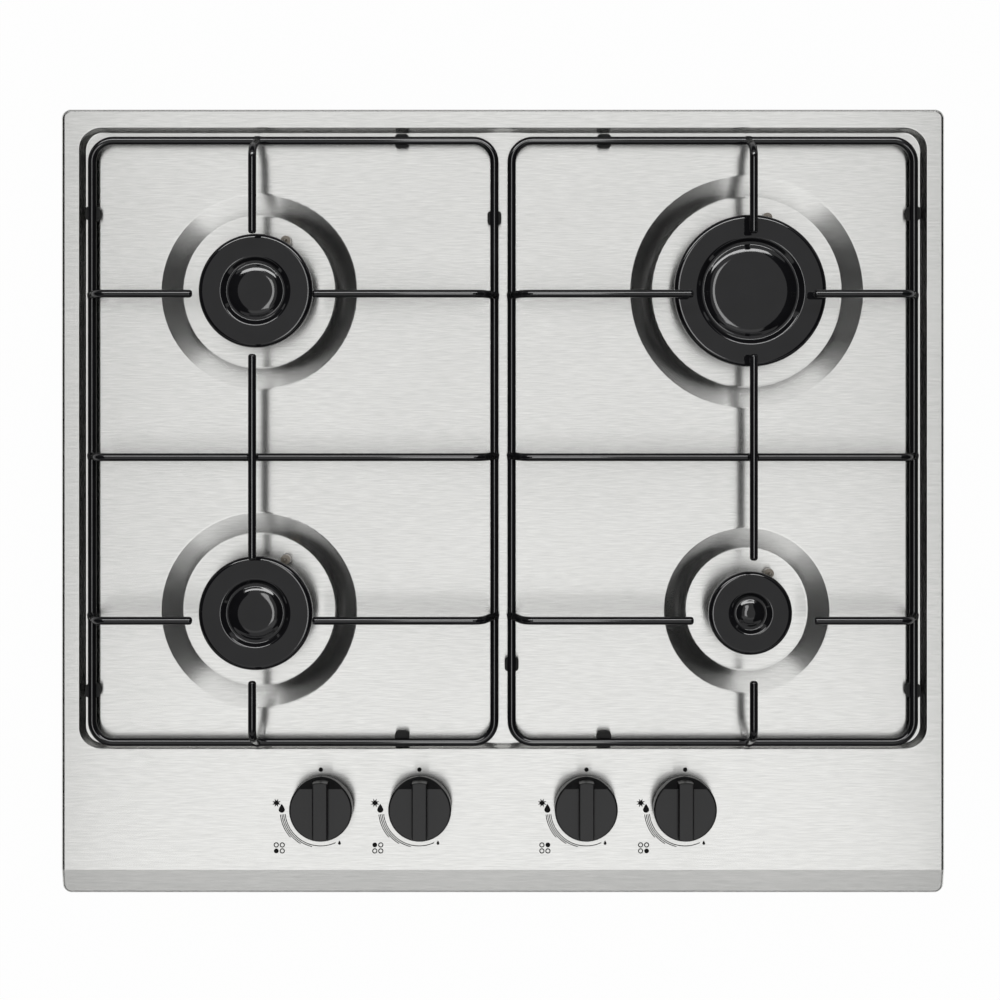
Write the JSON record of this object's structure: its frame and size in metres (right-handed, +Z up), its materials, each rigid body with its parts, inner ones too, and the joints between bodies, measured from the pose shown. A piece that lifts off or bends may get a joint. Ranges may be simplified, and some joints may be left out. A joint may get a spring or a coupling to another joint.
{
  "type": "gas cooktop",
  "caption": "Built-in steel gas cooktop with round burners in dished wells, lift-off wire pan supports and front control knobs that push and turn.",
  "frame": {"origin": "centre of the plate in the plane of the worktop, which the plate's seal rests on", "axes": "+Z up, +X to the user's right along the plate's long side, +Y to the rear, away from the knobs"},
  "size_m": [0.585, 0.52, 0.0796],
  "materials": {
    "stainless": "fine brushed grain from left to right",
    "black_enamel": "gloss vitreous enamel",
    "knob_plastic": "satin moulded plastic",
    "support_rubber": "matt rubber",
    "seal_foam": "matt closed-cell foam",
    "coated_steel": "plain zinc-coated sheet",
    "zinc_screws": "bright zinc plate",
    "brass": "machined",
    "bare_aluminium": "bare",
    "cast_aluminium": "fine cast and tumbled",
    "ceramic": "glazed ceramic",
    "electrode_steel": "heat-marked steel",
    "lead_silicone": "silicone sleeve",
    "box_plastic": "moulded",
    "spring_steel": "drawn"
  },
  "bodies": {
    "root": {"top_plate": "stainless", "worktop_seal": "seal_foam", "base_pan": "coated_steel", "base_pan_brackets": "coated_steel", "base_pan_screws": "zinc_screws", "worktop_clamps": "coated_steel", "clamp_screws": "zinc_screws", "gas_rail": "coated_steel", "rail_brackets": "coated_steel", "gas_inlet_fitting": "brass", "supply_pipes": "bare_aluminium", "pipe_nuts": "brass", "injectors": "brass", "burner_cup_screws": "zinc_screws", "igniter_insulators": "ceramic", "igniter_electrodes": "electrode_steel", "ignition_leads": "lead_silicone", "ignition_switches": "box_plastic", "spark_generator": "box_plastic", "cable_gland": "box_plastic", "spindle_seals": "support_rubber", "burner_cup_front_left": "bare_aluminium", "tap_body_front_left": "brass", "burner_cup_rear_left": "bare_aluminium", "tap_body_rear_left": "brass", "burner_cup_rear_right": "bare_aluminium", "tap_body_rear_right": "brass", "burner_cup_front_right": "bare_aluminium", "tap_body_front_right": "brass"},
    "pan_support_left": {"pan_support_rim_left": "black_enamel", "pan_support_bars_left": "black_enamel", "pan_support_feet_left": "support_rubber"},
    "pan_support_right": {"pan_support_rim_right": "black_enamel", "pan_support_bars_right": "black_enamel", "pan_support_feet_right": "support_rubber"},
    "crown_front_left": {"burner_crown_front_left": "cast_aluminium"},
    "cap_front_left": {"burner_cap_front_left": "black_enamel"},
    "crown_rear_left": {"burner_crown_rear_left": "cast_aluminium"},
    "cap_rear_left": {"burner_cap_rear_left": "black_enamel"},
    "crown_rear_right": {"burner_crown_rear_right": "cast_aluminium"},
    "cap_rear_right": {"burner_cap_rear_right": "black_enamel"},
    "crown_front_right": {"burner_crown_front_right": "cast_aluminium"},
    "cap_front_right": {"burner_cap_front_right": "black_enamel"},
    "plug_front_left": {"tap_plug_front_left": "brass", "return_spring_front_left": "spring_steel"},
    "knob_front_left": {"knob_front_left": "knob_plastic", "spindle_front_left": "spring_steel"},
    "plug_rear_left": {"tap_plug_rear_left": "brass", "return_spring_rear_left": "spring_steel"},
    "knob_rear_left": {"knob_rear_left": "knob_plastic", "spindle_rear_left": "spring_steel"},
    "plug_rear_right": {"tap_plug_rear_right": "brass", "return_spring_rear_right": "spring_steel"},
    "knob_rear_right": {"knob_rear_right": "knob_plastic", "spindle_rear_right": "spring_steel"},
    "plug_front_right": {"tap_plug_front_right": "brass", "return_spring_front_right": "spring_steel"},
    "knob_front_right": {"knob_front_right": "knob_plastic", "spindle_front_right": "spring_steel"}
  },
  "joints": [
    {"name": "pan_support_lift_left", "type": "slide", "parent": "root", "child": "pan_support_left", "axis": [0, 0, 1], "range_m": [0, 0.15]},
    {"name": "pan_support_lift_right", "type": "slide", "parent": "root", "child": "pan_support_right", "axis": [0, 0, 1], "range_m": [0, 0.15]},
    {"name": "crown_lift_front_left", "type": "slide", "parent": "root", "child": "crown_front_left", "axis": [0, 0, 1], "range_m": [0, 0.006]},
    {"name": "cap_lift_front_left", "type": "slide", "parent": "crown_front_left", "child": "cap_front_left", "axis": [0, 0, 1], "range_m": [0, 0.006]},
    {"name": "crown_lift_rear_left", "type": "slide", "parent": "root", "child": "crown_rear_left", "axis": [0, 0, 1], "range_m": [0, 0.006]},
    {"name": "cap_lift_rear_left", "type": "slide", "parent": "crown_rear_left", "child": "cap_rear_left", "axis": [0, 0, 1], "range_m": [0, 0.006]},
    {"name": "crown_lift_rear_right", "type": "slide", "parent": "root", "child": "crown_rear_right", "axis": [0, 0, 1], "range_m": [0, 0.006]},
    {"name": "cap_lift_rear_right", "type": "slide", "parent": "crown_rear_right", "child": "cap_rear_right", "axis": [0, 0, 1], "range_m": [0, 0.006]},
    {"name": "crown_lift_front_right", "type": "slide", "parent": "root", "child": "crown_front_right", "axis": [0, 0, 1], "range_m": [0, 0.04]},
    {"name": "cap_lift_front_right", "type": "slide", "parent": "crown_front_right", "child": "cap_front_right", "axis": [0, 0, 1], "range_m": [0, 0.04]},
    {"name": "knob_turn_front_left", "type": "hinge", "parent": "root", "child": "plug_front_left", "pos_m": [-0.1193, -0.2006, 0], "axis": [0, 0, 1], "range_deg": [0, 210]},
    {"name": "knob_push_front_left", "type": "slide", "parent": "plug_front_left", "child": "knob_front_left", "axis": [0, 0, -1], "range_m": [0, 0.004], "stiffness_N_per_m": 800, "springref_m": -0.01, "deforming": ["return_spring_front_left"]},
    {"name": "knob_turn_rear_left", "type": "hinge", "parent": "root", "child": "plug_rear_left", "pos_m": [-0.0545, -0.2006, 0], "axis": [0, 0, 1], "range_deg": [0, 210]},
    {"name": "knob_push_rear_left", "type": "slide", "parent": "plug_rear_left", "child": "knob_rear_left", "axis": [0, 0, -1], "range_m": [0, 0.004], "stiffness_N_per_m": 800, "springref_m": -0.01, "deforming": ["return_spring_rear_left"]},
    {"name": "knob_turn_rear_right", "type": "hinge", "parent": "root", "child": "plug_rear_right", "pos_m": [0.0545, -0.2006, 0], "axis": [0, 0, 1], "range_deg": [0, 210]},
    {"name": "knob_push_rear_right", "type": "slide", "parent": "plug_rear_right", "child": "knob_rear_right", "axis": [0, 0, -1], "range_m": [0, 0.004], "stiffness_N_per_m": 800, "springref_m": -0.01, "deforming": ["return_spring_rear_right"]},
    {"name": "knob_turn_front_right", "type": "hinge", "parent": "root", "child": "plug_front_right", "pos_m": [0.1193, -0.2006, 0], "axis": [0, 0, 1], "range_deg": [0, 210]},
    {"name": "knob_push_front_right", "type": "slide", "parent": "plug_front_right", "child": "knob_front_right", "axis": [0, 0, -1], "range_m": [0, 0.004], "stiffness_N_per_m": 800, "springref_m": -0.01, "deforming": ["return_spring_front_right"]}
  ]
}
